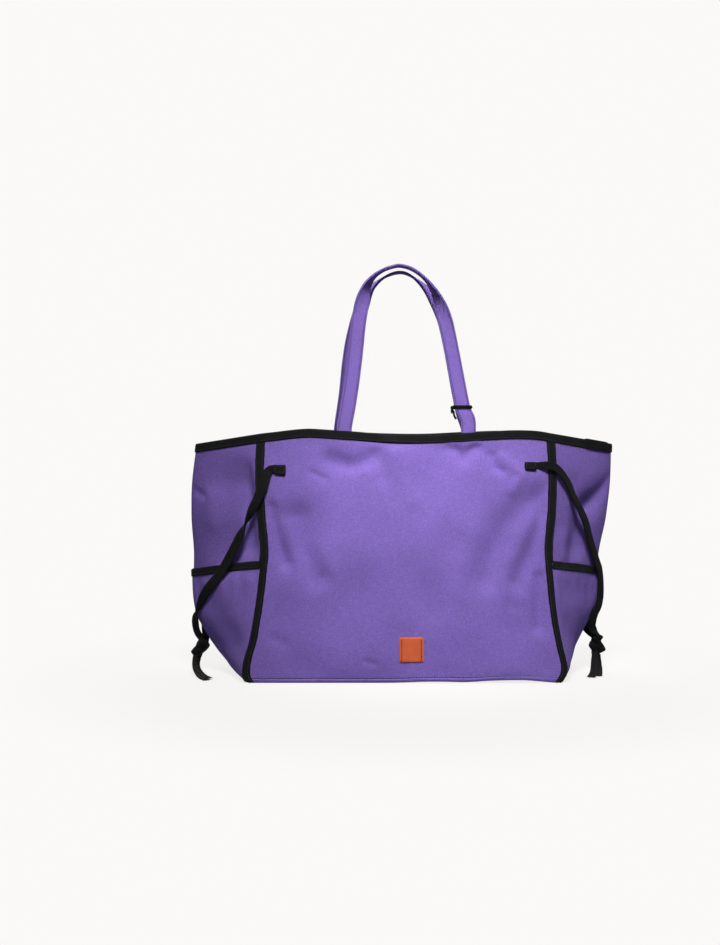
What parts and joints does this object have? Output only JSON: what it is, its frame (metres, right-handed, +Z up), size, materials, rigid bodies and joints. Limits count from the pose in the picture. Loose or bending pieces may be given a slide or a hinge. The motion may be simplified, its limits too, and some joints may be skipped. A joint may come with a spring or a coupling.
{
  "type": "tote bag",
  "caption": "Purple canvas tote bag with folding side wings, side pockets, black bound seams and rim, strap handles, side ties and a blank leather patch.",
  "frame": {"origin": "middle of the flat base's underside, on the surface that the bag stands on", "axes": "+X to the right as the front is seen, -Y out of the front panel, +Z up"},
  "size_m": [0.5031, 0.173, 0.4807],
  "materials": {
    "canvas": "matte woven canvas",
    "black_tape": "matte herringbone cotton tape",
    "leather": "satin smooth leather"
  },
  "bodies": {
    "bag": {"base_panel": "canvas", "front_panel": "canvas", "back_panel": "canvas", "left_gusset": "canvas", "right_gusset": "canvas", "left_pocket": "canvas", "right_pocket": "canvas", "front_left_handle_tab": "canvas", "front_right_handle_tab": "canvas", "back_left_handle_tab": "canvas", "back_right_handle_tab": "canvas", "rim_binding": "black_tape", "front_left_seam_tape": "black_tape", "front_right_seam_tape": "black_tape", "back_left_seam_tape": "black_tape", "back_right_seam_tape": "black_tape", "left_pocket_binding": "black_tape", "right_pocket_binding": "black_tape", "left_front_tie_stitch": "black_tape", "left_back_tie_stitch": "black_tape", "right_front_tie_stitch": "black_tape", "right_back_tie_stitch": "black_tape", "left_front_tie": "black_tape", "left_front_tie_tail": "black_tape", "left_back_tie": "black_tape", "left_back_tie_tail": "black_tape", "right_front_tie": "black_tape", "right_front_tie_tail": "black_tape", "right_back_tie": "black_tape", "right_back_tie_tail": "black_tape", "left_tie_knot": "black_tape", "right_tie_knot": "black_tape", "leather_patch": "leather"},
    "front_handle": {"front_handle": "canvas", "handle_band": "black_tape", "handle_band_end": "black_tape"},
    "back_handle": {"back_handle": "canvas"}
  },
  "joints": [
    {"name": "front_handle_swing", "type": "hinge", "parent": "bag", "child": "front_handle", "pos_m": [0, -0.0329, 0.2866], "axis": [1, 0, 0], "range_deg": [0, 100]},
    {"name": "back_handle_swing", "type": "hinge", "parent": "bag", "child": "back_handle", "pos_m": [0, 0.0329, 0.28646], "axis": [-1, 0, 0], "range_deg": [0, 100]}
  ]
}
